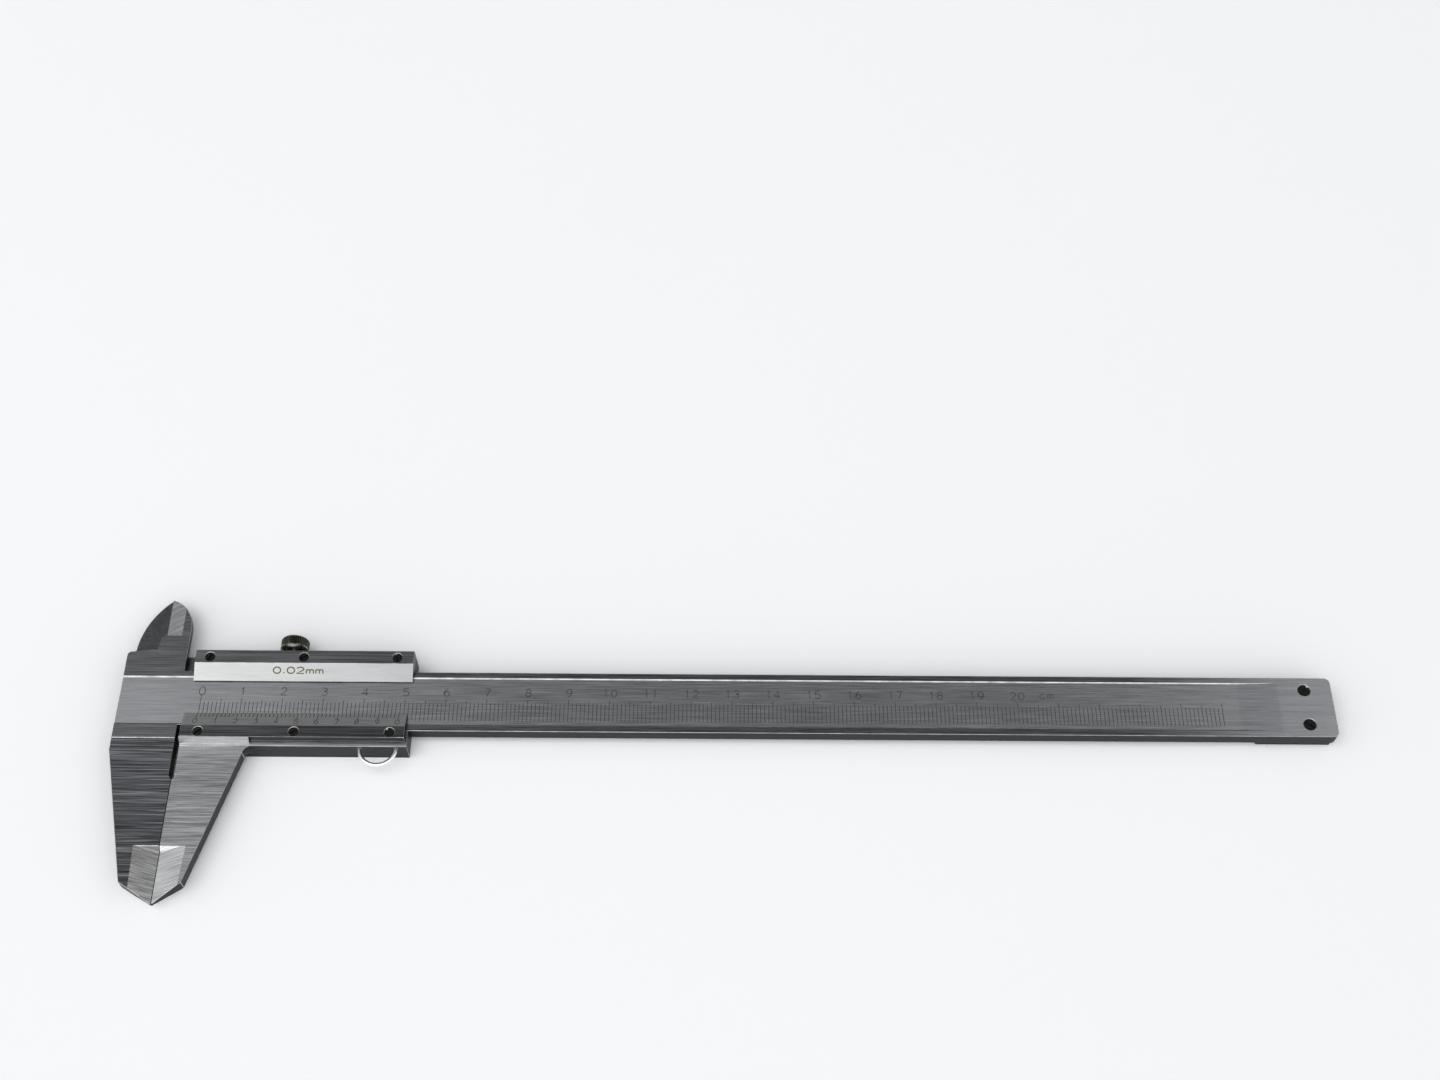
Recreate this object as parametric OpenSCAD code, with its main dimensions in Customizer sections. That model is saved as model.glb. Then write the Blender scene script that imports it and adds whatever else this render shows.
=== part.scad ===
// Vernier caliper, 0 to 200 mm, lying on its back.
// X runs along the beam away from the jaws. Y runs across the face from the
// outside jaws to the inside jaws. Z rises out of the graduated face.
// Inside the modules, u is measured along X from the outside measuring faces,
// v along Y from the lower edge of the beam, and z from the surface it lies on.

/* [Beam] */
// Width of the beam
beam_w = 16; // [15:0.5:17]
// Thickness of the beam
beam_t = 3.5; // [3.2:0.1:4]
// Length of the beam beyond the measuring faces
beam_reach = 281.3; // [275:0.1:300]
// Width of the raised rail along each edge of the face
rail_w = 1.5; // [1:0.1:1.6]
// Depth of the graduated face below the rails
face_drop = 0.2; // [0.1:0.05:0.3]
// Radius of the two far corners
beam_corner_r = 1.4; // [0.6:0.1:2]

/* [Outside jaws] */
// Reach of the outside jaws below the beam
jaw_reach = 44.1; // [43:0.1:46]
// Distance of the fixed jaw's back from the measuring face
fixed_back = 16.2; // [16:0.1:18]
// Reach of the flat part of the jaw ends, where they start to narrow
jaw_corner_reach = 39.1; // [38:0.1:40]
// Width of the fixed jaw at that corner
fixed_corner_w = 8.1; // [8:0.1:9]
// Width of the moving jaw at that corner
moving_corner_w = 6.4; // [6:0.1:6.6]
// Width of the moving jaw at its root
moving_root_w = 16.4; // [15:0.1:18]
// Width of the thinned strip beside the measuring faces
tip_bevel_w = 5.7; // [5:0.1:6]
// Depth of the thinned strip at the measuring face
tip_bevel_t = 1.2; // [0.8:0.1:1.4]
// Reach at which the thinned strip starts
tip_bevel_reach = 30.1; // [28:0.1:33]

/* [Inside jaws] */
// Height of the inside jaws' points above the beam's lower edge
blade_tip_v = 36.9; // [36:0.1:38]
// Distance of the inside measuring edges behind the outside measuring faces
blade_edge_u = 7.75; // [7.4:0.05:8]
// Height of the fixed body that carries the inside jaw
fixed_body_v = 21.3; // [21:0.1:22]
// Distance of the moving inside jaw's back behind the measuring faces
moving_blade_back = 14.9; // [14.5:0.1:15.5]

/* [Slider] */
// Length of the slider
slider_len = 55.3; // [54:0.1:58]
// Thickness of the web behind the beam
web_t = 2.6; // [2.2:0.1:3]
// Outer face of the lower wall, below the beam
lower_wall = 4.3; // [4.2:0.1:5]
// Outer face of the upper wall, above the beam
upper_wall = 4.8; // [4.7:0.1:5.4]
// Running clearance between sliding faces
run = 0.05; // [0.03:0.01:0.08]
// Depth of the gap that holds the gib spring
gib_gap = 0.5; // [0.45:0.05:0.6]

/* [Cover and vernier plate] */
// Thickness of both plates
plate_t = 2; // [1.8:0.1:2.2]
// Width of the flat strip of the upper cover
cover_flat_w = 3.5; // [3.4:0.1:4]
// Width of the bevel of the upper cover
cover_bevel_w = 4.2; // [4:0.1:4.6]
// Width of the flat strip of the vernier plate
vernier_flat_w = 3; // [2.8:0.1:3.4]
// Width of the bevel of the vernier plate
vernier_bevel_w = 4.1; // [3.8:0.1:4.4]
// Distance between neighbouring plate screws
screw_pitch = 23.1; // [22.8:0.1:23.2]
// Diameter of the plate screws' heads
plate_head_d = 2.6; // [2.4:0.1:2.8]

/* [Lock screw and thumb loop] */
// Distance of the lock screw from the measuring faces
lock_u = 24.6; // [24:0.1:25]
// Diameter of the lock screw's knurled head
lock_head_d = 7; // [6:0.2:7.6]
// Length of the knurled head
lock_head_len = 3.4; // [3:0.1:4]
// Number of ridges round the head
lock_ridges = 40; // [30:1:48]
// Distance of the thumb loop's centre from the measuring faces
loop_u = 48.2; // [47:0.1:49]
// Radius of the loop to the middle of its wire
loop_r = 4.4; // [4:0.1:4.6]
// Diameter of the loop's wire
loop_wire_d = 1; // [0.8:0.1:1.2]

/* [Depth rod and end stop] */
// Width of the depth rod
rod_w = 2.9; // [2.6:0.1:3.2]
// Thickness of the depth rod
rod_t = 1.4; // [1.2:0.1:1.5]
// Length of the end stop plate
stop_len = 19; // [16:0.5:19]
// Distance of the end screws from the beam's end
end_screw_inset = 6.7; // [6:0.1:8]
// Distance between the two end screws
end_screw_pitch = 9.3; // [9:0.1:10]
// Diameter of the end screws' heads
end_head_d = 3.2; // [3:0.1:3.6]

/* [Hidden] */
$fn = 96;
eps = 0.01;

// Levels above the surface that the caliper lies on
beam_z = web_t + run;
rail_z = beam_z + beam_t;
face_z = rail_z - face_drop;
jaw_z = rail_z - 0.1;
wall_z = rail_z + run;
plate_z = wall_z + plate_t;
half_z = beam_z + 1.6;
jaw_mid_z = (beam_z + jaw_z) / 2;

// The origin is under the middle of the whole caliper
origin_u = (beam_reach - fixed_back) / 2;
origin_v = (blade_tip_v - jaw_reach) / 2;

// The sunk face: the slope of its two sides, and where its floor runs out
face_side = 0.2;
face_to_u = 268;
face_run_out = 10;

// Jaws
relief_w = 0.8;
relief_reach = 13.2;
moving_relief_w = 0.5;
moving_face_u = 0.01;
fixed_shoulder_reach = 5.3;
jaw_step_v = -2.2;
moving_fillet_r = 1.8;
ridge_len = moving_root_w + 1;
blade_right_u = -1.45;
blade_foot_v = 25.6;
blade_shoulder_v = 27.5;
blade_bevel_w = 4.2;
blade_edge_t = 0.3;
moving_shoulder_v = fixed_body_v;

// Plates: v of the outer edge, and the thickness left at the bevelled edge
cover_v = beam_w + upper_wall;
vernier_v = -lower_wall + 1.5;
plate_edge_t = 0.3;
vernier_from_u = 0.7;
vernier_to_u = slider_len - 0.5;
cover_from_u = 1.4;
screw_first_u = 5;
cover_screw_v = cover_v - cover_flat_w / 2 - 0.1;
vernier_screw_v = vernier_v + vernier_flat_w / 2 - 0.1;

// Plate screws
plate_head_t = 0.75;
plate_shank_r = 0.8;
plate_screw_z = 2.6;
head_recess = 0.1;
slot_w = 0.45;

// Lock screw and its pad
lock_z = 4.2;
lock_r = 1.2;
lock_tip_v = beam_w + 1.6;
lock_head_v = beam_w + upper_wall + 1.6;
pad_r = 1.1;
pad_v = beam_w + 0.3;

// Gib spring
gib_t = 0.2;
gib_rest = 0.04;
gib_from_u = 4;
gib_to_u = 2 * lock_u - gib_from_u;
gib_steps = 12;

// Thumb loop
loop_v = -lower_wall + 0.1;
loop_z = wall_z - 1.2;
loop_leg = 1.6;

// Depth rod, its seat on the web, and its rivets
rod_v = beam_w / 2;
rod_z = beam_z + run;
rod_from_u = 22;
rod_seat_len = 28;
groove_side = 0.1;
groove_from_u = 15;
rivet_r = 0.6;
rivet_front_u = rod_from_u + 5;
rivet_rear_u = rod_from_u + 23;

// End stop and its screws
stop_inset = 0.8;
end_screw_u = beam_reach - end_screw_inset;
end_head_t = 1;
end_shank_r = 1;
end_screw_z = 0.4;

function screw_u(i) = screw_first_u + i * screw_pitch;

// Moves a shape from (u, v, z) into the caliper's own frame
module placed() translate([-origin_u, -origin_v, 0]) children();

// Extrudes an outline given as (v, z) along u
module along_u(from_u, to_u) {
    translate([from_u, 0, 0]) rotate([90, 0, 90]) linear_extrude(to_u - from_u) children();
}

// Extrudes an outline given as (u, z) along v
module along_v(from_v, to_v) {
    translate([0, to_v, 0]) rotate([90, 0, 0]) linear_extrude(to_v - from_v) children();
}

module bar_outline() {
    r = beam_corner_r;
    translate([-fixed_back, 0]) square([fixed_back + beam_reach - r, beam_w]);
    translate([-fixed_back, r]) square([fixed_back + beam_reach, beam_w - 2 * r]);
    for (v = [r, beam_w - r]) translate([beam_reach - r, v]) circle(r);
}

// What is cut away above the graduated face, between the two rails
module sunk_face() {
    low_v = rail_w + face_side;
    high_v = beam_w - low_v;
    over = face_side / face_drop;
    intersection() {
        along_u(-fixed_back - 1, beam_reach)
            polygon([
                [low_v, face_z],
                [high_v, face_z],
                [high_v + face_side + over, rail_z + 1],
                [low_v - face_side - over, rail_z + 1]]);
        along_v(0, beam_w)
            polygon([
                [-fixed_back - 1, face_z],
                [face_to_u - face_run_out, face_z],
                [face_to_u, rail_z],
                [face_to_u, rail_z + 1],
                [-fixed_back - 1, rail_z + 1]]);
    }
}

module fixed_jaw_outline() {
    polygon([
        [-fixed_back, rail_w],
        [-fixed_back, -fixed_shoulder_reach],
        [-fixed_corner_w, -jaw_corner_reach],
        [0, -jaw_reach],
        [0, -relief_reach],
        [-relief_w, -relief_reach + 1.1],
        [-relief_w, rail_w]]);
}

module fixed_body_outline() {
    polygon([
        [-fixed_back, beam_w - rail_w],
        [-fixed_back, fixed_body_v - 0.6],
        [-fixed_back + 0.6, fixed_body_v],
        [-blade_edge_u - 1.15, fixed_body_v + 0.8],
        [-blade_edge_u - 0.75, blade_foot_v - 0.3],
        [-blade_edge_u, blade_foot_v + 0.4],
        [blade_right_u, blade_foot_v + 0.4],
        [blade_right_u, fixed_body_v],
        [blade_right_u + 0.2, beam_w - rail_w]]);
}

// A blade whose measuring edge is the line u = 0 and whose back is an arc that
// starts square to the shoulder, at the given width, and ends at the point
module blade_outline(width, shoulder_v, foot_v) {
    rise = blade_tip_v - shoulder_v;
    r = (width * width + rise * rise) / (2 * width);
    translate([0, foot_v]) square([width, shoulder_v - foot_v]);
    intersection() {
        translate([0, shoulder_v]) square([width, rise]);
        translate([width - r, shoulder_v]) circle(r, $fn = 192);
    }
}

// The wedge ground off one side of a jaw's end: it deepens from nothing at
// u = -tip_bevel_w to tip_bevel_t at the measuring face, and runs out in a slope
module tip_wedge() {
    past = 0.5;
    slope = tip_bevel_t / tip_bevel_w;
    intersection() {
        along_v(-jaw_reach - 1, -tip_bevel_reach + 1)
            polygon([
                [-tip_bevel_w, jaw_z],
                [-tip_bevel_w, jaw_z + 1],
                [past, jaw_z + 1],
                [past, jaw_z - tip_bevel_t - past * slope]]);
        along_u(-tip_bevel_w - 1, 1)
            polygon([
                [-tip_bevel_reach + 0.2, jaw_z + 0.2],
                [-tip_bevel_reach - 2, jaw_z - 2],
                [-jaw_reach - 1, jaw_z - 2],
                [-jaw_reach - 1, jaw_z + 1],
                [-tip_bevel_reach + 0.2, jaw_z + 1]]);
    }
}

// Both wedges of one jaw, on its face and on its back
module tip_wedges() {
    tip_wedge();
    translate([0, 0, 2 * jaw_mid_z]) mirror([0, 0, 1]) tip_wedge();
}

// The bevel that brings a blade down to its measuring edge at u = 0
module blade_wedge(top_z, thickness) {
    drop = thickness - blade_edge_t;
    along_v(blade_foot_v, blade_tip_v + 1)
        polygon([
            [blade_bevel_w, top_z],
            [blade_bevel_w, top_z + 1],
            [-1, top_z + 1],
            [-1, top_z - drop - drop / blade_bevel_w],
            [0, top_z - drop]]);
}

module fixed_blade() {
    blade_t = rail_z - half_z - run;
    difference() {
        translate([-blade_edge_u, 0, half_z + run]) linear_extrude(blade_t)
            blade_outline(blade_edge_u + blade_right_u, blade_shoulder_v, fixed_body_v);
        translate([-blade_edge_u, 0, 0]) blade_wedge(rail_z, blade_t);
    }
}

// A countersunk hole: the head's recess above a straight shank hole
module countersunk_hole(top_z, bottom_z, head_r, head_t, shank_r) {
    translate([0, 0, bottom_z]) cylinder(h = top_z - bottom_z, r = shank_r);
    translate([0, 0, top_z - head_recess - head_t]) cylinder(h = head_t, r1 = shank_r, r2 = head_r);
    translate([0, 0, top_z - head_recess - eps]) cylinder(h = head_recess + 1, r = head_r);
}

// A countersunk screw with a slot, its head just under the surface at top_z
module slotted_screw(top_z, tip_z, head_r, head_t, shank_r, turn) {
    head_z = top_z - head_recess;
    difference() {
        union() {
            translate([0, 0, tip_z]) cylinder(h = head_z - head_t - tip_z + eps, r = shank_r);
            translate([0, 0, head_z - head_t]) cylinder(h = head_t, r1 = shank_r, r2 = head_r);
        }
        translate([0, 0, head_z]) rotate(turn) cube([3 * head_r, slot_w, 0.9], center = true);
    }
}

module beam() color("slategray") placed() difference() {
    union() {
        translate([0, 0, beam_z]) linear_extrude(beam_t) bar_outline();
        translate([0, 0, beam_z]) linear_extrude(jaw_z - beam_z) fixed_jaw_outline();
        translate([0, 0, beam_z]) linear_extrude(rail_z - beam_z) intersection() {
            fixed_jaw_outline();
            translate([-fixed_back, jaw_step_v]) square([fixed_back, 4]);
        }
        translate([0, 0, half_z + run]) linear_extrude(rail_z - half_z - run) fixed_body_outline();
        fixed_blade();
    }
    sunk_face();
    // Relief above the jaw, where the slider's corner comes home
    translate([-relief_w, -1, beam_z - 1]) cube([relief_w, 1 + rail_w - 0.2, beam_t + 2]);
    tip_wedges();
    // Groove for the depth rod
    translate([groove_from_u, rod_v - rod_w / 2 - groove_side, beam_z - 1])
        cube([beam_reach, rod_w + 2 * groove_side, rod_z + rod_t + groove_side - beam_z + 1]);
    for (side = [-1, 1]) translate([end_screw_u, beam_w / 2 + side * end_screw_pitch / 2, 0])
        countersunk_hole(rail_z, beam_z - 1, end_head_d / 2, end_head_t, end_shank_r + run);
}

module moving_jaw_outline() {
    slope = (moving_root_w - moving_corner_w) / (jaw_corner_reach - lower_wall);
    // The fillet's centre is one radius away from both the wall and the jaw's back
    centre_v = -lower_wall - moving_fillet_r;
    centre_u = moving_root_w - moving_fillet_r * slope + moving_fillet_r * sqrt(1 + slope * slope);
    difference() {
        polygon([
            [moving_face_u, -jaw_reach],
            [moving_corner_w, -jaw_corner_reach],
            [moving_root_w - moving_fillet_r * slope, centre_v],
            [centre_u, centre_v],
            [centre_u, -run],
            [moving_relief_w, -run],
            [moving_relief_w, -relief_reach + 0.5],
            [moving_face_u, -relief_reach]]);
        translate([centre_u, centre_v]) circle(moving_fillet_r);
    }
}

module moving_blade() {
    blade_t = half_z - beam_z;
    width = moving_blade_back - blade_edge_u;
    difference() {
        union() {
            translate([-blade_edge_u, 0, beam_z]) mirror([1, 0, 0])
                linear_extrude(blade_t) blade_outline(width, moving_shoulder_v, beam_w + run);
            translate([-blade_edge_u - eps, beam_w + run, beam_z])
                cube([blade_edge_u + cover_from_u + 1, upper_wall - run, blade_t]);
        }
        // The back of this blade is bevelled, so that both edges meet at the middle
        translate([-blade_edge_u, 0, beam_z + half_z]) mirror([0, 0, 1]) mirror([1, 0, 0])
            blade_wedge(half_z, blade_t);
    }
}

// The half ring of wire with two straight legs
module loop_wire() {
    translate([loop_u, loop_v, loop_z]) {
        rotate([0, 0, 180]) rotate_extrude(angle = 180) translate([loop_r, 0]) circle(loop_wire_d / 2);
        for (side = [-1, 1]) translate([side * loop_r, 0, 0]) rotate([-90, 0, 0])
            cylinder(h = loop_leg, r = loop_wire_d / 2);
    }
}

module slider_frame() color("lightslategray") placed() difference() {
    union() {
        translate([moving_face_u, -lower_wall, 0])
            cube([slider_len, beam_w + lower_wall + upper_wall, web_t]);
        translate([moving_relief_w, -lower_wall, 0])
            cube([moving_face_u + slider_len - moving_relief_w, lower_wall - run, wall_z]);
        translate([cover_from_u, beam_w + gib_gap, 0])
            cube([moving_face_u + slider_len - cover_from_u, upper_wall - gib_gap, wall_z]);
        translate([0, 0, beam_z]) linear_extrude(jaw_z - beam_z) moving_jaw_outline();
        // Sloped root of the moving jaw, beside the vernier plate
        along_u(moving_relief_w, ridge_len)
            polygon([
                [-lower_wall + 0.4, jaw_z - 1],
                [-lower_wall + 0.4, jaw_z],
                [vernier_v, plate_z - 0.1],
                [vernier_v, jaw_z - 1]]);
        moving_blade();
        // Seat that carries the depth rod clear of the web
        translate([rod_from_u, rod_v - rod_w / 2 + groove_side, web_t - 1])
            cube([rod_seat_len, rod_w - 2 * groove_side, rod_z - web_t + 1]);
    }
    mirror([1, 0, 0]) tip_wedges();
    for (i = [0:2], v = [cover_screw_v, vernier_screw_v]) translate([screw_u(i), v, plate_screw_z])
        cylinder(h = plate_z, r = plate_shank_r);
    translate([lock_u, beam_w, lock_z]) rotate([-90, 0, 0])
        cylinder(h = upper_wall + 1, r = lock_r + run);
    for (u = [rivet_front_u, rivet_rear_u]) translate([u, rod_v, -1])
        cylinder(h = web_t + 2, r = rivet_r);
    loop_wire();
}

// A plate in section (v, z): a flat strip, then a bevel down to a thin edge
module plate_section(outer_v, flat_w, bevel_w) {
    inward = outer_v > beam_w ? -1 : 1;
    polygon([
        [outer_v, wall_z],
        [outer_v, plate_z],
        [outer_v + inward * flat_w, plate_z],
        [outer_v + inward * (flat_w + bevel_w), wall_z + plate_edge_t],
        [outer_v + inward * (flat_w + bevel_w), wall_z]]);
}

module plate(outer_v, flat_w, bevel_w, screw_v, from_u, to_u) placed() difference() {
    along_u(from_u, to_u) plate_section(outer_v, flat_w, bevel_w);
    for (i = [0:2]) translate([screw_u(i), screw_v, 0])
        countersunk_hole(plate_z, wall_z - 1, plate_head_d / 2, plate_head_t, plate_shank_r + run);
}

module upper_cover() color("silver")
    plate(cover_v, cover_flat_w, cover_bevel_w, cover_screw_v, cover_from_u, slider_len);

module vernier_plate() color("gray")
    plate(vernier_v, vernier_flat_w, vernier_bevel_w, vernier_screw_v, vernier_from_u, vernier_to_u);

module plate_screw(i, v, turn) color("dimgray") placed() translate([screw_u(i), v, 0])
    slotted_screw(plate_z, plate_screw_z, plate_head_d / 2, plate_head_t, plate_shank_r, turn);

module end_screw(side, turn) color("dimgray") placed()
    translate([end_screw_u, beam_w / 2 + side * end_screw_pitch / 2, 0])
        slotted_screw(rail_z, end_screw_z, end_head_d / 2, end_head_t, end_shank_r, turn);

// A ridged disc outline with one ridge and one groove for each step round it
module knurl_outline(r, depth, ridges) {
    polygon([for (i = [0:2 * ridges - 1])
        (i % 2 == 0 ? r : r - depth) * [cos(180 * i / ridges), sin(180 * i / ridges)]]);
}

module lock_screw() color("silver") placed() translate([lock_u, 0, lock_z]) rotate([-90, 0, 0]) {
    r = lock_head_d / 2;
    chamfer = 0.5;
    collar = 0.35;
    knurl_v = lock_head_v + chamfer + collar;
    translate([0, 0, lock_tip_v]) cylinder(h = lock_head_v - lock_tip_v, r = lock_r);
    // A plain bright collar, then the knurl with its far end chamfered
    translate([0, 0, lock_head_v]) cylinder(h = chamfer, r1 = r - chamfer, r2 = r);
    translate([0, 0, lock_head_v + chamfer]) cylinder(h = collar, r = r);
    translate([0, 0, knurl_v]) intersection() {
        knurl_len = lock_head_len - chamfer - collar;
        linear_extrude(knurl_len) knurl_outline(r - 0.03, 0.28, lock_ridges);
        cylinder(h = knurl_len, r1 = r - chamfer + knurl_len, r2 = r - chamfer);
    }
}

module lock_pad() color("goldenrod") placed() translate([lock_u, pad_v, lock_z]) rotate([-90, 0, 0])
    cylinder(h = lock_tip_v - pad_v - 0.02, r = pad_r);

// A leaf bowed towards the beam: v of its lower face at a fraction of its length
function gib_v(t) = beam_w + gib_rest + (gib_gap - gib_t - 2 * gib_rest) * pow(2 * t - 1, 2);
function gib_point(i, lift) = let (t = i / gib_steps)
    [gib_from_u + t * (gib_to_u - gib_from_u), gib_v(t) + lift];

module gib_spring() color("peru") placed() translate([0, 0, beam_z + 0.2])
    linear_extrude(beam_t - 0.4)
        polygon([
            for (i = [0:gib_steps]) gib_point(i, 0),
            for (i = [gib_steps:-1:0]) gib_point(i, gib_t)]);

module thumb_loop() color("gainsboro") placed() loop_wire();

module depth_rod() color("darkgray") placed() difference() {
    translate([rod_from_u, rod_v - rod_w / 2, rod_z]) cube([beam_reach - rod_from_u, rod_w, rod_t]);
    // Relief at the measuring end, which clears the corner of a step
    translate([beam_reach, rod_v + rod_w / 2, rod_z - 1]) rotate(45)
        cube([2, 2, 2 * rod_t + 2], center = true);
    for (u = [rivet_front_u, rivet_rear_u]) translate([u, rod_v, rod_z - 1])
        cylinder(h = rod_t + 2, r = rivet_r);
}

module rod_rivet(u) color("dimgray") placed() translate([u, rod_v, 0.1])
    cylinder(h = rod_z + rod_t - 0.1, r = rivet_r);

module end_stop_plate() color("slategray") placed() difference() {
    translate([beam_reach - stop_len, stop_inset, 0])
        cube([stop_len - stop_inset, beam_w - 2 * stop_inset, beam_z]);
    for (side = [-1, 1]) translate([end_screw_u, beam_w / 2 + side * end_screw_pitch / 2, -1])
        cylinder(h = beam_z + 2, r = end_shank_r);
}

beam();
slider_frame();
upper_cover();
vernier_plate();
plate_screw(0, cover_screw_v, 60);  // cover_screw_left
plate_screw(1, cover_screw_v, 35);  // cover_screw_middle
plate_screw(2, cover_screw_v, 110);  // cover_screw_right
plate_screw(0, vernier_screw_v, 40);  // vernier_screw_left
plate_screw(1, vernier_screw_v, 30);  // vernier_screw_middle
plate_screw(2, vernier_screw_v, 125);  // vernier_screw_right
lock_screw();
lock_pad();
gib_spring();
thumb_loop();
depth_rod();
rod_rivet(rivet_front_u);  // rod_rivet_front
rod_rivet(rivet_rear_u);  // rod_rivet_rear
end_stop_plate();
end_screw(1, 50);  // end_screw_upper
end_screw(-1, 140);  // end_screw_lower
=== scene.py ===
"""Looks for the vernier caliper: ground and brushed steel, the engraved scales, studio light and camera.

Everything is in metres in the frame's own axes: X along the beam, Y across its face, Z out of the face.
In the comments, u is the distance from the outside measuring faces along X, and v the distance from the
beam's middle line along Y.
"""
import math

import bmesh
import bpy
from mathutils import Matrix, Vector


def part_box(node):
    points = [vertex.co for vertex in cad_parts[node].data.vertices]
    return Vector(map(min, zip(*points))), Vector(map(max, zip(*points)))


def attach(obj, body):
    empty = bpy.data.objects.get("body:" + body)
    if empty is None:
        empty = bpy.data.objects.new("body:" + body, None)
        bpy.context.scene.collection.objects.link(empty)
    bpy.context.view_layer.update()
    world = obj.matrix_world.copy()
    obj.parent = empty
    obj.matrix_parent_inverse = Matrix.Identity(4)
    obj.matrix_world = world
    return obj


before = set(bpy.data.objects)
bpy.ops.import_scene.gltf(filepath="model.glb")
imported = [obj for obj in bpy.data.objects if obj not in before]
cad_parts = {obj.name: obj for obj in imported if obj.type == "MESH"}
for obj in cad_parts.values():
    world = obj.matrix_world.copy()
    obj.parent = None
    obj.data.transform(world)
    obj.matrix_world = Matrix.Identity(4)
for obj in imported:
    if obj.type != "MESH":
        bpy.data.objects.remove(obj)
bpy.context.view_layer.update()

MM = 0.001

# ---------------------------------------------------------------- places taken from the frame


def top_strip(node, toward):
    """The y of the inner edge of a plate's flat strip, where its bevel starts."""
    _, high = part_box(node)
    ys = [v.co.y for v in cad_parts[node].data.vertices if v.co.z > high.z - 0.01 * MM]
    return max(ys) if toward > 0 else min(ys)


def level_at(node, x, y):
    """The height of a node's upper surface at a place."""
    hit, place, _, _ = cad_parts[node].ray_cast(Vector((x, y, 1)), Vector((0, 0, -1)))
    return place.z if hit else 0


STOP_LOW, STOP_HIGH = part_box("end_stop_plate")
VERNIER_LOW, VERNIER_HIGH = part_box("vernier_plate")
COVER_LOW, COVER_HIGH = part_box("upper_cover")
VERNIER_RIDGE_Y = top_strip("vernier_plate", 1)
COVER_RIDGE_Y = top_strip("upper_cover", -1)
# Thickness of both plates at the foot of their bevels
PLATE_EDGE_T = 0.3 * MM
# The outside measuring faces: the vernier plate starts this far to their right
MEASURE_X = VERNIER_LOW.x - 0.69 * MM
MIDDLE_Y = (STOP_LOW.y + STOP_HIGH.y) / 2


def at_u(u):
    """The X at u millimetres."""
    return MEASURE_X + u * MM


def at_v(v):
    """The Y at v millimetres."""
    return MIDDLE_Y + v * MM


# The beam's graduated face is sunk between two rails, and has run up to their level by FACE_END_X
RAIL_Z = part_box("beam")[1].z
FACE_Z = level_at("beam", at_u(100), MIDDLE_Y)
FACE_END_X = at_u(268)
FACE_HALF_W = 6.35 * MM
STEP_HALF_W = 7 * MM
# The jaws, walls, blades and the lock screw's collar are told apart by where they lie across the beam
FIXED_JAW_Y = at_v(-9)
WALL_Y = at_v(-8)
JAW_TIP_Y = at_v(-30)
BLADE_Y = at_v(10)
COLLAR_Y = (at_v(14.3), at_v(15.3))

# ---------------------------------------------------------------- node material helpers


class Nodes:
    """A short way to build a node tree."""

    def __init__(self, name):
        self.material = bpy.data.materials.new(name)
        self.material.use_nodes = True
        self.tree = self.material.node_tree
        self.shader = self.tree.nodes["Principled BSDF"]

    def new(self, kind, **settings):
        node = self.tree.nodes.new(kind)
        for key, value in settings.items():
            setattr(node, key, value)
        return node

    def link(self, a, b):
        self.tree.links.new(a, b)

    def place(self):
        return self.new("ShaderNodeTexCoord").outputs["Object"]

    def axis(self, name):
        """One coordinate of the place on the object."""
        node = self.new("ShaderNodeSeparateXYZ")
        self.link(self.place(), node.inputs[0])
        return node.outputs[name]

    def scaled(self, scale, source=None):
        node = self.new("ShaderNodeMapping")
        node.inputs["Scale"].default_value = scale
        self.link(source or self.place(), node.inputs["Vector"])
        return node.outputs["Vector"]

    def turned(self, angle, scale):
        """Coordinates turned about Z before they are scaled, for marks that run at an angle."""
        turn = self.new("ShaderNodeMapping")
        turn.inputs["Rotation"].default_value = (0, 0, angle)
        self.link(self.place(), turn.inputs["Vector"])
        return self.scaled(scale, turn.outputs["Vector"])

    def noise(self, vector, detail=3.0, roughness=0.55):
        """Noise from 0 to 1 with a grain of 1 in the given coordinates."""
        node = self.new("ShaderNodeTexNoise")
        node.inputs["Scale"].default_value = 1.0
        node.inputs["Detail"].default_value = detail
        node.inputs["Roughness"].default_value = roughness
        self.link(vector, node.inputs["Vector"])
        return node.outputs["Fac"]

    def spread(self, value, low, high, to_low=0.0, to_high=1.0):
        """The value, with low to high stretched to to_low to to_high."""
        node = self.new("ShaderNodeMapRange")
        numbers = {"From Min": low, "From Max": high, "To Min": to_low, "To Max": to_high}
        for key, number in numbers.items():
            node.inputs[key].default_value = number
        self.link(value, node.inputs["Value"])
        return node.outputs["Result"]

    def math(self, operation, a, b):
        node = self.new("ShaderNodeMath", operation=operation)
        for socket, value in zip(node.inputs, (a, b)):
            if isinstance(value, (int, float)):
                socket.default_value = value
            else:
                self.link(value, socket)
        return node.outputs["Value"]

    def blend(self, factor, dark, light):
        """The dark colour where factor is 0 and the light one where it is 1."""
        node = self.new("ShaderNodeMix", data_type="RGBA")
        node.inputs[0].default_value = 0.5
        self.link(factor, node.inputs[0])
        for socket, value in ((node.inputs[6], dark), (node.inputs[7], light)):
            if isinstance(value, (tuple, list)):
                socket.default_value = (*value, 1.0)
            else:
                self.link(value, socket)
        return node.outputs[2]

    def bump(self, height, distance, strength=1.0):
        node = self.new("ShaderNodeBump")
        node.inputs["Strength"].default_value = strength
        node.inputs["Distance"].default_value = distance
        self.link(height, node.inputs["Height"])
        self.link(node.outputs["Normal"], self.shader.inputs["Normal"])

    def set(self, **values):
        """Values that are the same all over the surface."""
        for key, value in values.items():
            self.shader.inputs[key.replace("_", " ")].default_value = value


# A streak's depth as a share of its width
STREAK_DEPTH = 0.0018


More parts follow.
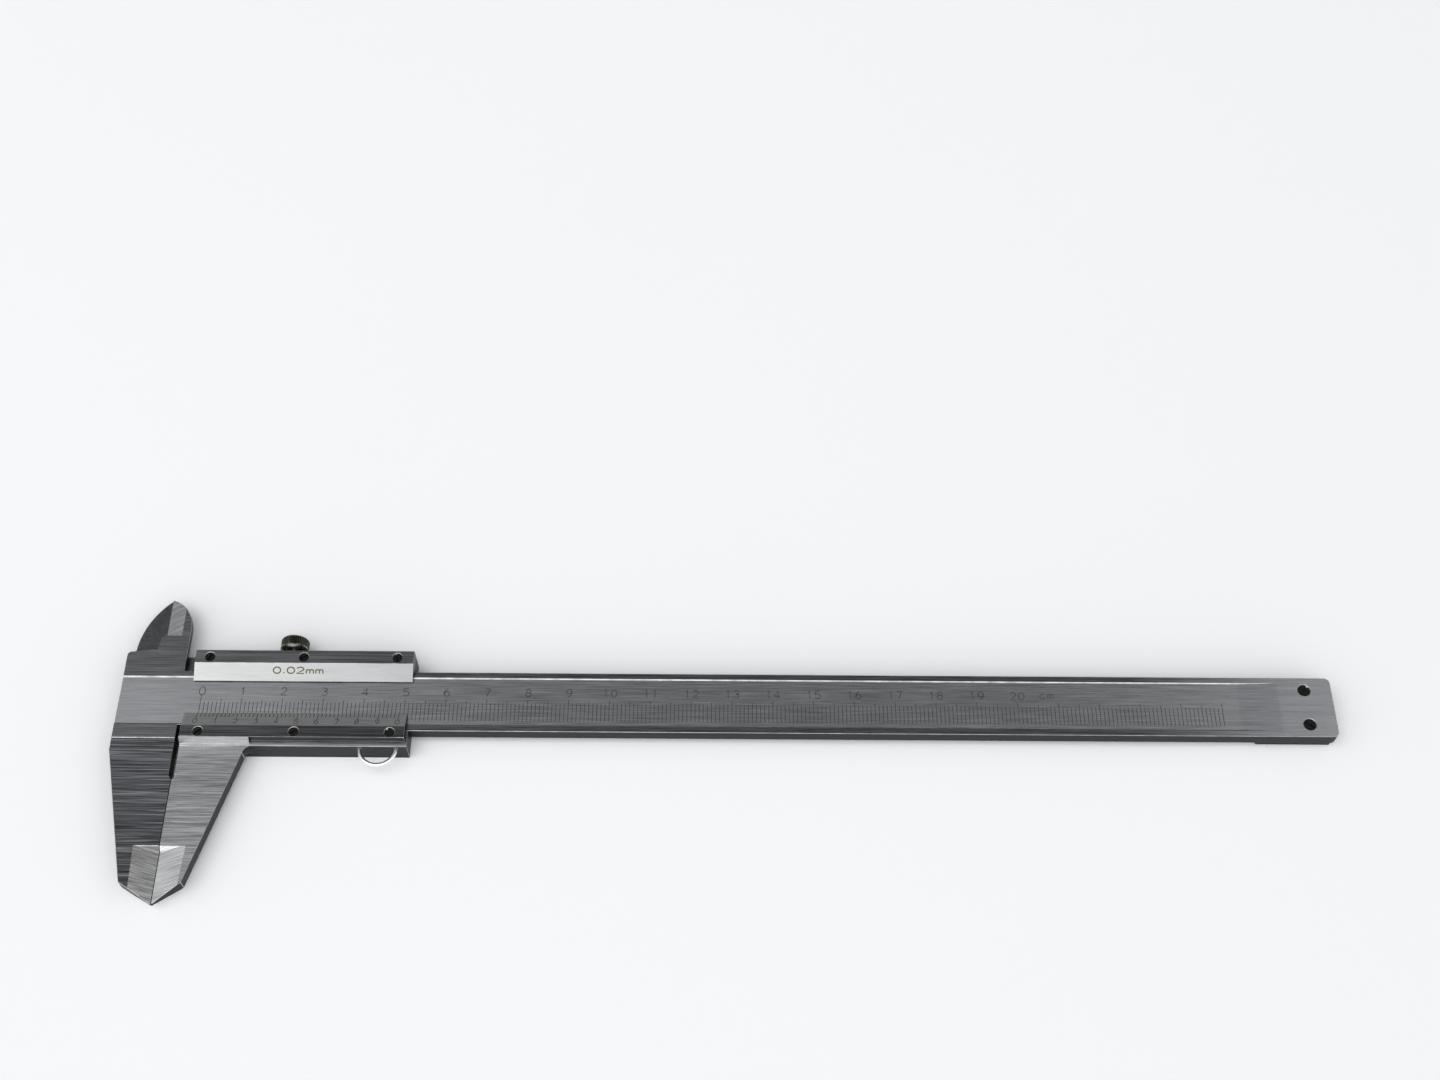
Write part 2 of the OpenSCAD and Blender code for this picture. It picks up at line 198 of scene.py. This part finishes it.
def ground_metal(name, dark, light, rough, grain, scratch=0.0, angle=0.0, fade=None, depth=1.0):
    """Steel ground along X, or at an angle to it, with thin light scratches where scratch is above 0.

    grain is how often the tone changes in a metre, along the streaks and across them. It changes with
    height as it does across them where depth is 1, and not at all where depth is 0. fade gives an axis,
    a start and an end along it, and the dark and light colours that have taken over by the end.
    """
    n = Nodes(name)
    n.set(Metallic=1.0)
    along, across = grain
    fine = n.noise(n.turned(angle, (along, across, across * depth)), 3.0, 0.6)
    broad = n.noise(n.turned(angle, (along * 0.3, across * 0.12, across * 0.12 * depth)), 2.0)
    mixed = n.math("ADD", n.math("MULTIPLY", fine, 0.75), n.math("MULTIPLY", broad, 0.25))
    tone = n.spread(mixed, 0.38, 0.62)
    colour = n.blend(tone, dark, light)
    if fade:
        axis, start, stop, fade_dark, fade_light = fade
        faded = n.blend(tone, fade_dark, fade_light)
        colour = n.blend(n.spread(n.axis(axis), start, stop), colour, faded)
    if scratch > 0:
        line = n.noise(n.turned(angle, (along * 0.8, across * 0.8, across * 0.8 * depth)), 1.0, 0.5)
        mask = n.spread(line, 0.56, 0.66, 0.0, scratch)
        colour = n.blend(mask, colour, tuple(min(1.0, c * 1.9) for c in light))
    n.link(colour, n.shader.inputs["Base Color"])
    n.link(n.spread(fine, 0.3, 0.7, rough - 0.05, rough + 0.06), n.shader.inputs["Roughness"])
    n.bump(fine, STREAK_DEPTH / across)
    return n.material


def worn_edge(name, colour, rough):
    """A lighter line along an edge, partly rubbed wear and partly painted highlight, with painted shade
    along the seam where the outside measuring faces meet, on their lower part.
    """
    n = Nodes(name)
    n.set(Metallic=1.0)
    rubbed = n.spread(n.noise(n.scaled((400, 400, 400)), 3.0), 0.35, 0.65)
    steel = n.blend(rubbed, tuple(c * 0.6 for c in colour), colour)
    # Painted shade: within 0.15 mm of the measuring faces' seam, and more than 20 mm below the beam's
    # middle, the edges are painted near black.
    away = n.math("ABSOLUTE", n.math("SUBTRACT", n.axis("X"), MEASURE_X), 0.0)
    beside = n.spread(away, 0.15 * MM, 0.25 * MM)
    above = n.spread(n.axis("Y"), at_v(-20), at_v(-19))
    unshaded = n.math("MAXIMUM", beside, above)
    n.link(n.blend(unshaded, (0.01, 0.01, 0.012), steel), n.shader.inputs["Base Color"])
    n.shader.inputs["Roughness"].default_value = rough
    return n.material


def plain_metal(name, colour, rough, speck=0.25, size=2500, depth=0.6e-6):
    """Turned, plated or blackened metal, with a fine mottle in its tone and gloss."""
    n = Nodes(name)
    n.set(Metallic=1.0)
    mottle = n.noise(n.scaled((size, size, size)), 3.0)
    dark = tuple(c * (1 - speck) for c in colour)
    light = tuple(min(1.0, c * (1 + speck)) for c in colour)
    n.link(n.blend(n.spread(mottle, 0.35, 0.65), dark, light), n.shader.inputs["Base Color"])
    n.link(n.spread(mottle, 0.3, 0.7, max(0.03, rough - 0.05), rough + 0.07), n.shader.inputs["Roughness"])
    n.bump(mottle, depth)
    return n.material


def ink(name, colour, rough=0.7):
    """The dark fill of an engraved line."""
    n = Nodes(name)
    n.set(Metallic=0.0)
    grain = n.noise(n.scaled((9000, 9000, 9000)), 2.0)
    dark = tuple(c * 0.7 for c in colour)
    n.link(n.blend(n.spread(grain, 0.35, 0.65), dark, colour), n.shader.inputs["Base Color"])
    n.shader.inputs["Roughness"].default_value = rough
    return n.material


# Where a colour changes along a part: the axis, the start, the end, and the dark and light colours there.
# The first lightens the face and rails towards the beam's far end; the other three are painted light.
FAR_END = ("X", FACE_END_X - 36 * MM, FACE_END_X, (0.45, 0.455, 0.475), (0.62, 0.63, 0.655))
# Painted highlight: the moving jaw's top lightens towards the sloped band at its root.
JAW_ROOT_HIGHLIGHT = ("Y", at_v(-15.5), at_v(-12.3), (0.5, 0.505, 0.52), (0.74, 0.75, 0.765))
# Painted highlight: the lower wall's top lightens sharply towards its outer edge, standing in for the light
# on a rounded edge.
WALL_EDGE_HIGHLIGHT = ("Y", at_v(-11.1), at_v(-12.2), (0.55, 0.555, 0.56), (0.9, 0.91, 0.92))
# The cover bevel's painted highlight dims towards the cover's right end.
COVER_BEVEL_FADE = ("X", COVER_LOW.x, COVER_HIGH.x, (0.2, 0.2, 0.202), (0.25, 0.25, 0.253))

FACE = ground_metal("satin_face", (0.42, 0.427, 0.443), (0.60, 0.608, 0.63), 0.28, (75, 4600),
                    fade=FAR_END, depth=0.0)
GROUND = ground_metal("ground_jaw", (0.045, 0.046, 0.05), (0.21, 0.214, 0.227), 0.23, (70, 4400),
                      scratch=0.8)
BODY = ground_metal("ground_rail", (0.125, 0.127, 0.134), (0.27, 0.274, 0.282), 0.28, (75, 4600),
                    scratch=0.2, fade=FAR_END, depth=0.0)
BRUSHED = ground_metal("brushed_jaw", (0.27, 0.275, 0.285), (0.57, 0.577, 0.59), 0.28, (110, 4200),
                       scratch=0.3, fade=JAW_ROOT_HIGHLIGHT)
# Painted highlight: the sloped band at the moving jaw's root is a lighter copy of the jaw's steel.
HIGHLIGHT_BAND = ground_metal("jaw_root_highlight", (0.46, 0.465, 0.475), (0.66, 0.665, 0.68), 0.28, (110, 4200))
WALL = ground_metal("slider_wall", (0.22, 0.223, 0.23), (0.40, 0.405, 0.415), 0.28, (90, 4200),
                    fade=WALL_EDGE_HIGHLIGHT)
# Painted reflection: the plates' flat strips are painted dark and their bevels light. These stand in for
# the dark surroundings that the flats mirror and for the light that the bevels catch. The dark strip colour
# is also painted shade on the beam's tip shoulders.
SHADED_STRIP = ground_metal("shaded_strip", (0.14, 0.143, 0.149), (0.29, 0.295, 0.303), 0.3, (60, 3600))
VERNIER_SHADED_STRIP = ground_metal("vernier_shaded_strip", (0.06, 0.062, 0.065), (0.16, 0.162, 0.167), 0.3, (60, 3600))
BEVEL = ground_metal("highlight_bevel", (0.27, 0.27, 0.267), (0.34, 0.34, 0.336), 0.26, (200, 5000),
                     fade=COVER_BEVEL_FADE, depth=0.0)
VERNIER_HIGHLIGHT_BEVEL = ground_metal("vernier_highlight_bevel", (0.68, 0.68, 0.67), (0.92, 0.92, 0.9), 0.36, (200, 5000),
                             depth=0.0)
FACET_LEFT = ground_metal("facet_left", (0.56, 0.56, 0.55), (0.98, 0.98, 0.96), 0.28, (150, 4200),
                          angle=0.2, depth=0.0)
FACET_RIGHT = ground_metal("facet_right", (0.55, 0.555, 0.565), (0.98, 0.98, 1.0), 0.24, (120, 3600),
                           angle=-0.28, depth=0.0)
FACET_BLADE = ground_metal("facet_blade", (0.62, 0.63, 0.65), (0.9, 0.915, 0.935), 0.3, (150, 3000),
                           angle=-0.35, depth=0.0)
# Painted shade: the moving jaw's inner blade and its root, lying low behind the fixed blade, are painted
# darker than the other ground steel.
SHADED_LEAF = ground_metal("leaf", (0.10, 0.102, 0.107), (0.15, 0.153, 0.16), 0.32, (900, 2400))
# Painted shade: the upright sides and ends are painted near black, standing in for the shade and the dark
# reflections on faces turned away from the light.
SHADED_SIDE = ground_metal("edge", (0.016, 0.016, 0.018), (0.034, 0.035, 0.038), 0.42, (60, 3600))
# Lighter than the faces it joins: partly rubbed wear, partly painted highlight on the softened edges.
EDGE = worn_edge("worn_edge", (0.5, 0.505, 0.52), 0.3)
# Painted highlight: the step from the face up to the far rail is painted much lighter than the rails, for
# the light line that it catches.
RAIL_STEP_HIGHLIGHT = worn_edge("rail_step_highlight", (0.8, 0.81, 0.83), 0.3)
BLACK = plain_metal("black_oxide", (0.03, 0.03, 0.03), 0.4, 0.4)
NICKEL = plain_metal("nickel", (0.13, 0.126, 0.11), 0.3, 0.3)
# Painted highlight: the lock screw's collar, which faces the light, is a lighter copy of the screw's
# nickel.
LIT_COLLAR = plain_metal("lit_nickel", (0.3, 0.295, 0.27), 0.24, 0.15)
CHROME = plain_metal("chrome", (0.86, 0.86, 0.85), 0.1, 0.04)
BRASS = plain_metal("brass", (0.72, 0.53, 0.25), 0.3)
BRONZE = plain_metal("spring_bronze", (0.6, 0.38, 0.2), 0.33)
ENGRAVED = ink("engraved", (0.04, 0.04, 0.04))
OLIVE = ink("unit_mark", (0.13, 0.12, 0.06))

# ---------------------------------------------------------------- carried-over CAD nodes

# Faces smaller than this that don't face along an axis are shaded smooth, as part of a curved surface
CURVED_AREA = 1.0 * MM * MM


def finish_node(name, rules, edge=0.06 * MM, segments=2, sharp=28):
    """Gives each face of a node the first material whose test it passes, and softens its edges.

    rules lists pairs of a material and a test on the face's centre and normal. edge is the width of the
    softened edge, none where it is 0, and sharp the least angle in degrees that is softened. EDGE, where
    the rules hold it, is the softened edge's material.
    """
    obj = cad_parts[name]
    mesh = obj.data
    mesh.materials.clear()
    for material, _ in rules:
        mesh.materials.append(material)
    for face in mesh.polygons:
        passed = (i for i, (_, test) in enumerate(rules) if test(face.center, face.normal))
        face.material_index = next(passed)
        face.use_smooth = face.area < CURVED_AREA and max(map(abs, face.normal)) < 0.9995
    if edge == 0:
        return
    weld = obj.modifiers.new("weld", "WELD")
    weld.merge_threshold = 1e-7
    planar = obj.modifiers.new("planar", "DECIMATE")
    planar.decimate_type = "DISSOLVE"
    planar.angle_limit = math.radians(0.4)
    planar.delimit = {"MATERIAL"}
    bevel = obj.modifiers.new("edges", "BEVEL")
    bevel.width = edge
    bevel.segments = segments
    bevel.limit_method = "ANGLE"
    bevel.angle_limit = math.radians(sharp)
    bevel.use_clamp_overlap = False
    if EDGE in list(mesh.materials):
        bevel.material = list(mesh.materials).index(EDGE)
    corners = obj.modifiers.new("triangles", "TRIANGULATE")
    corners.ngon_method = "BEAUTY"


# Tests on a face's centre and normal, for the rules of finish_node


def always(centre, normal):
    return True


def never(centre, normal):
    return False


def is_flat(centre, normal):
    return normal.z > 0.999


def is_level(centre, normal):
    return abs(normal.z) > 0.95


def is_facet(centre, normal):
    return abs(normal.x) > 0.1 and 0.9 < abs(normal.z) < 0.999


def is_slope(centre, normal):
    return 0.5 < normal.z < 0.999


def is_edge_slope(centre, normal):
    return 0.3 < abs(normal.z) < 0.9


def on_face(centre, normal):
    between_rails = abs(centre.y - MIDDLE_Y) < FACE_HALF_W
    below_rails = FACE_Z - 0.02 * MM < centre.z < RAIL_Z - 0.01 * MM
    return normal.z > 0.99 and between_rails and below_rails


def on_fixed_jaw(centre, normal):
    return is_flat(centre, normal) and centre.y < FIXED_JAW_Y and centre.z < RAIL_Z - 0.05 * MM


def on_moving_jaw(centre, normal):
    return is_flat(centre, normal) and centre.y < WALL_Y


def on_jaw_root(centre, normal):
    return 0.3 < normal.z < 0.9 and centre.y < WALL_Y


def on_lower_wall(centre, normal):
    return is_flat(centre, normal) and centre.y < WALL_Y and centre.z > RAIL_Z


def on_rail_step(centre, normal):
    return is_edge_slope(centre, normal) and normal.y < 0 and abs(centre.y - MIDDLE_Y) < STEP_HALF_W


def on_tip_shoulder(centre, normal):
    return is_edge_slope(centre, normal) and centre.y < JAW_TIP_Y


def on_moving_tip(centre, normal):
    return is_facet(centre, normal) or on_tip_shoulder(centre, normal)


def on_collar(centre, normal):
    return COLLAR_Y[0] < centre.y < COLLAR_Y[1]


def on_leaf(centre, normal):
    return is_level(centre, normal) and centre.y > BLADE_Y


def on_blade_bevel(centre, normal):
    return is_facet(centre, normal) and centre.y > BLADE_Y


finish_node("beam", [
    (FACET_BLADE, on_blade_bevel),
    (FACET_LEFT, is_facet),
    (SHADED_STRIP, on_tip_shoulder),
    (RAIL_STEP_HIGHLIGHT, on_rail_step),
    (FACE, on_face),
    (GROUND, on_fixed_jaw),
    (BODY, is_level),
    (EDGE, is_edge_slope),
    (SHADED_SIDE, always)], 0.09 * MM)
finish_node("slider_frame", [
    (SHADED_LEAF, on_leaf),
    (FACET_RIGHT, on_moving_tip),
    (HIGHLIGHT_BAND, on_jaw_root),
    (WALL, on_lower_wall),
    (BRUSHED, on_moving_jaw),
    (BODY, is_level),
    (EDGE, never),
    (SHADED_SIDE, always)], 0.09 * MM)
# The flat strips take the plates' painted dark reflection, and the bevels take their painted highlight.
for plate, strip, slope in (("upper_cover", SHADED_STRIP, BEVEL), ("vernier_plate", VERNIER_SHADED_STRIP, VERNIER_HIGHLIGHT_BEVEL)):
    plate_rules = [(strip, is_flat), (slope, is_slope), (EDGE, never), (SHADED_SIDE, always)]
    finish_node(plate, plate_rules, 0.07 * MM, sharp=18)
for screw in [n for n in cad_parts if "_screw_" in n]:
    finish_node(screw, [(BLACK, always)], 0.03 * MM, 1)
finish_node("lock_screw", [(LIT_COLLAR, on_collar), (NICKEL, always)], 0)
finish_node("lock_pad", [(BRASS, always)], 0.05 * MM)
finish_node("gib_spring", [(BRONZE, always)], 0)
finish_node("thumb_loop", [(CHROME, always)], 0)
finish_node("depth_rod", [(BODY, always)])
finish_node("rod_rivet_front", [(BODY, always)], 0)
finish_node("rod_rivet_rear", [(BODY, always)], 0)
finish_node("end_stop_plate", [(BODY, is_level), (SHADED_SIDE, always)], 0.15 * MM)

# ---------------------------------------------------------------- engraved marks


def arc(cx, cy, rx, ry, start, end, steps=14):
    """Points along an ellipse, in degrees counted anticlockwise from the right."""
    turn = [math.radians(start + (end - start) * i / steps) for i in range(steps + 1)]
    return [(cx + rx * math.cos(t), cy + ry * math.sin(t)) for t in turn]


# Single-stroke glyphs in a box 0.7 wide and 1 high: each is a list of strokes
GLYPHS = {
    "0": [arc(0.35, 0.5, 0.33, 0.5, 90, 450, 24)],
    "1": [[(0.18, 0.8), (0.38, 1.0), (0.38, 0.0)]],
    "2": [arc(0.35, 0.7, 0.31, 0.3, 165, -30) + [(0.03, 0.0), (0.68, 0.0)]],
    "3": [arc(0.33, 0.76, 0.28, 0.24, 150, -90) + arc(0.33, 0.26, 0.33, 0.26, 90, -150)],
    "4": [[(0.5, 0.0), (0.5, 1.0), (0.02, 0.28), (0.7, 0.28)]],
    "5": [[(0.62, 1.0), (0.12, 1.0), (0.07, 0.55)] + arc(0.33, 0.32, 0.33, 0.32, 120, -150)],
    "6": [arc(0.62, 0.42, 0.58, 0.56, 100, 170, 8) + arc(0.35, 0.3, 0.31, 0.3, 180, 540, 20)],
    "7": [[(0.03, 1.0), (0.66, 1.0), (0.25, 0.0)]],
    "8": [arc(0.35, 0.76, 0.27, 0.24, 90, 450, 20), arc(0.35, 0.26, 0.33, 0.26, 90, 450, 20)],
    "9": [arc(0.35, 0.7, 0.31, 0.3, 0, 360, 20) + arc(0.08, 0.58, 0.58, 0.56, 0, -75, 8)],
    ".": [[(0.12, 0.0), (0.12, 0.2)]],
    "c": [arc(0.35, 0.32, 0.3, 0.32, 50, 310)],
    "m": [[(0.04, 0.0), (0.04, 0.62)],
          arc(0.2, 0.44, 0.16, 0.18, 180, 0, 8) + [(0.36, 0.0)],
          arc(0.52, 0.44, 0.16, 0.18, 180, 0, 8) + [(0.68, 0.0)]],
}

# How far the fill of a mark stands above its surface and reaches below it
MARK_LIFT = 0.008 * MM
MARK_SINK = 0.03 * MM


class Marks:
    """Thin closed strips of engraving fill that lie on one plane of a part."""

    def __init__(self, name, origin, along, across, body, material):
        self.name, self.body, self.material = name, body, material
        self.origin, self.along, self.across = Vector(origin), Vector(along), Vector(across)
        self.normal = self.along.cross(self.across)
        self.mesh = bmesh.new()
        self.lift = MARK_LIFT

    def stroke(self, points, width):
        """A strip of the given width along points, with square ends and mitred corners."""
        closed = len(points) > 2 and math.dist(points[0], points[-1]) < 1e-9
        pts = [Vector(p) for p in (points[:-1] if closed else points)]
        count = len(pts)
        rings = []
        for i, p in enumerate(pts):
            before = pts[i - 1] if (closed or i) else None
            after = pts[(i + 1) % count] if (closed or i < count - 1) else None
            d_in = (p - before).normalized() if before is not None else (after - p).normalized()
            d_out = (after - p).normalized() if after is not None else d_in
            left_in = Vector((-d_in.y, d_in.x))
            left_out = Vector((-d_out.y, d_out.x))
            side = (left_in + left_out).normalized()
            reach = width / 2 / max(0.5, side.dot(left_in))
            corners = ((1, -1), (1, 1), (-1, 1), (-1, -1))
            rings.append([self.point(p + side * reach * s, level) for s, level in corners])
        last = count if closed else count - 1
        for i in range(last):
            a, b = rings[i], rings[(i + 1) % count]
            for k in range(4):
                self.mesh.faces.new((a[k], a[(k + 1) % 4], b[(k + 1) % 4], b[k]))
        if not closed:
            self.mesh.faces.new(rings[0][::-1])
            self.mesh.faces.new(rings[-1])

    def point(self, p, level):
        """A vertex above (level 1) or below (level -1) the surface."""
        lift = self.lift if level > 0 else -MARK_SINK
        place = self.origin + self.along * p[0] + self.across * p[1] + self.normal * lift
        return self.mesh.verts.new(place)

    def text(self, words, centre, height, stroke, aspect=1.0, gap=0.3):
        """Words centred on a point; aspect widens the letters, gap is the space between them.

        Each stroke of a letter lies a little higher than the one before, so that none share a plane.
        """
        widths = [(0.24 if letter == "." else 0.7) * height * aspect for letter in words]
        x = centre[0] - (sum(widths) + gap * height * (len(words) - 1)) / 2
        for letter, width in zip(words, widths):
            for layer, line in enumerate(GLYPHS[letter]):
                self.lift = MARK_LIFT * (1 + 0.15 * layer)
                points = [(x + px * height * aspect, centre[1] + (py - 0.5) * height) for px, py in line]
                self.stroke(points, stroke)
            x += width + gap * height

    def build(self):
        bmesh.ops.recalc_face_normals(self.mesh, faces=self.mesh.faces)
        data = bpy.data.meshes.new(self.name)
        self.mesh.to_mesh(data)
        self.mesh.free()
        data.materials.append(self.material)
        obj = bpy.data.objects.new(self.name, data)
        bpy.context.scene.collection.objects.link(obj)
        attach(obj, self.body)
        return obj


TICK_W = 0.17 * MM
# The zeros of both scales stand this far to the right of the measuring faces
SCALE_ZERO = 3.8 * MM

# The main scale: places in v of the graduations' ends and of the numbers
SCALE_FOOT = -5.15 * MM
TICK_TOPS = {"cm": 0.7 * MM, "half": 0.3 * MM, "mm": -0.3 * MM}
ZERO_TICK_TOP = 1.5 * MM
NUMBER_V = 2.6 * MM
NUMBER_H = 2.05 * MM
NUMBER_STROKE = 0.2 * MM
LAST_MM = 250
LAST_NUMBER = 20
# Where the unit stands, as a reading of the scale
UNIT_READING = 207.2 * MM

# The vernier scale: fifty divisions over 49 mm. Its places are counted from the bevel's lower end, and
# are negative up the bevel
VERNIER_PARTS = 50
VERNIER_PITCH = 0.98 * MM
VERNIER_TICKS = {"long": -2.2 * MM, "short": -1.35 * MM}
VERNIER_NUMBER_V = -2.95 * MM
VERNIER_NUMBER_H = 1.5 * MM


def beam_scale():
    """Graduations to 25 cm, numbers to 20 and the unit, on the beam's sunk face."""
    place = (MEASURE_X, MIDDLE_Y, FACE_Z)
    ticks = Marks("beam_ticks", place, (1, 0, 0), (0, 1, 0), "beam", ENGRAVED)
    for mm in range(LAST_MM + 1):
        kind = "cm" if mm % 10 == 0 else "half" if mm % 5 == 0 else "mm"
        top = TICK_TOPS[kind] if mm else ZERO_TICK_TOP
        u = SCALE_ZERO + mm * MM
        ticks.stroke([(u, SCALE_FOOT), (u, top)], TICK_W)
    ticks.build()
    numbers = Marks("beam_numbers", place, (1, 0, 0), (0, 1, 0), "beam", ENGRAVED)
    for cm in range(LAST_NUMBER + 1):
        height = NUMBER_H * (1.1 if cm == 0 else 1.0)
        numbers.text(str(cm), (SCALE_ZERO + cm * 10 * MM + 0.05 * MM, NUMBER_V), height, NUMBER_STROKE)
    numbers.text("cm", (SCALE_ZERO + UNIT_READING, NUMBER_V + 0.3 * MM), 2.0 * MM, 0.19 * MM)
    numbers.build()


def vernier_scale():
    """Fifty divisions with a number at each fifth, on the vernier plate's bevel."""
    rise = VERNIER_HIGH.z - (VERNIER_LOW.z + PLATE_EDGE_T)
    run = VERNIER_HIGH.y - VERNIER_RIDGE_Y
    slope = Vector((0, run, -rise)).normalized()
    edge = (MEASURE_X, VERNIER_HIGH.y, VERNIER_LOW.z + PLATE_EDGE_T)
    ticks = Marks("vernier_ticks", edge, (1, 0, 0), slope, "slider", ENGRAVED)
    numbers = Marks("vernier_numbers", edge, (1, 0, 0), slope, "slider", ENGRAVED)
    for i in range(VERNIER_PARTS + 1):
        u = SCALE_ZERO + i * VERNIER_PITCH
        foot = VERNIER_TICKS["long" if i % 5 == 0 else "short"]
        ticks.stroke([(u, foot), (u, -0.02 * MM)], TICK_W)
        if i % 5 == 0:
            centre = (u - 0.05 * MM, VERNIER_NUMBER_V)
            numbers.text(str(i // 5 % 10), centre, VERNIER_NUMBER_H, 0.17 * MM)
    ticks.build()
    numbers.build()


def cover_mark():
    """The reading value on the cover's bevel."""
    rise = COVER_HIGH.z - (COVER_LOW.z + PLATE_EDGE_T)
    run = COVER_RIDGE_Y - COVER_LOW.y
    slope = Vector((0, run, rise)).normalized()
    middle = (MEASURE_X, (COVER_LOW.y + COVER_RIDGE_Y) / 2, COVER_HIGH.z - rise / 2)
    mark = Marks("cover_mark", middle, (1, 0, 0), slope, "slider", OLIVE)
    mark.text("0.02mm", (27.0 * MM, 0.45 * MM), 1.55 * MM, 0.32 * MM, aspect=1.75, gap=0.28)
    mark.build()


beam_scale()
vernier_scale()
cover_mark()

# ---------------------------------------------------------------- floor, light and camera

FLOOR_HALF = 12.0


def make_floor():
    """A plain pale floor under the caliper. Its far edge shows only in low views."""
    mesh = bpy.data.meshes.new("floor")
    corners = [(x * FLOOR_HALF, y * FLOOR_HALF, 0) for x, y in ((-1, -1), (1, -1), (1, 1), (-1, 1))]
    mesh.from_pydata(corners, [], [(0, 1, 2, 3)])
    floor = bpy.data.objects.new("floor", mesh)
    bpy.context.scene.collection.objects.link(floor)
    n = Nodes("pale_floor")
    n.set(Metallic=0.0, Roughness=0.85)
    mottle = n.noise(n.scaled((3, 3, 3)), 2.0)
    n.link(n.blend(mottle, (0.93, 0.93, 0.93), (0.95, 0.95, 0.95)), n.shader.inputs["Base Color"])
    mesh.materials.append(n.material)


def softbox(name, place, size, radiance):
    """A large soft light that faces the caliper and shines with an even brightness."""
    data = bpy.data.lights.new(name, "AREA")
    data.shape = "RECTANGLE"
    data.size, data.size_y = size
    data.energy = radiance * math.pi * size[0] * size[1]
    lamp = bpy.data.objects.new(name, data)
    lamp.location = place
    lamp.rotation_euler = (-Vector(place)).to_track_quat("-Z", "Y").to_euler()
    bpy.context.scene.collection.objects.link(lamp)


def make_light():
    """An even white sky, dimmer towards the back, a softbox above the front and one behind on each side."""
    world = bpy.data.worlds.new("studio")
    bpy.context.scene.world = world
    world.use_nodes = True
    tree = world.node_tree
    place = tree.nodes.new("ShaderNodeTexCoord")
    axes = tree.nodes.new("ShaderNodeSeparateXYZ")
    tree.links.new(place.outputs["Generated"], axes.inputs[0])
    back = tree.nodes.new("ShaderNodeMapRange")
    back.interpolation_type = "SMOOTHSTEP"
    for key, number in {"From Min": -0.1, "From Max": 0.32, "To Min": 1.25, "To Max": 0.16}.items():
        back.inputs[key].default_value = number
    tree.links.new(axes.outputs["Y"], back.inputs["Value"])
    background = tree.nodes["Background"]
    background.inputs["Color"].default_value = (0.97, 0.985, 1.0, 1)
    tree.links.new(back.outputs["Result"], background.inputs["Strength"])
    softbox("left_softbox", (-0.75, 0.45, 1.0), (0.7, 0.9), 0.38)
    softbox("right_softbox", (0.85, 0.6, 1.1), (0.6, 0.6), 0.52)
    softbox("overhead_softbox", (-0.5, -0.5, 1.6), (1.6, 0.9), 1.5)


def make_camera():
    """The camera looks down at the caliper from in front, and a little past its middle."""
    data = bpy.data.cameras.new("camera")
    data.sensor_width = 36.0
    data.lens = 46.25
    data.clip_start, data.clip_end = 0.01, 20
    camera = bpy.data.objects.new("camera", data)
    bpy.context.scene.collection.objects.link(camera)
    pitch, yaw, roll = math.radians(58.0), math.radians(0.19), math.radians(0.55)
    aim = Matrix.Rotation(-yaw, 4, "Z") @ Matrix.Rotation(math.pi / 2 - pitch, 4, "X")
    place = Vector((-2.73, -194.39, 411.23)) * MM
    camera.matrix_world = Matrix.Translation(place) @ aim @ Matrix.Rotation(roll, 4, "Z")
    bpy.context.scene.camera = camera


make_floor()
make_light()
make_camera()
bpy.context.scene.view_settings.view_transform = "Standard"
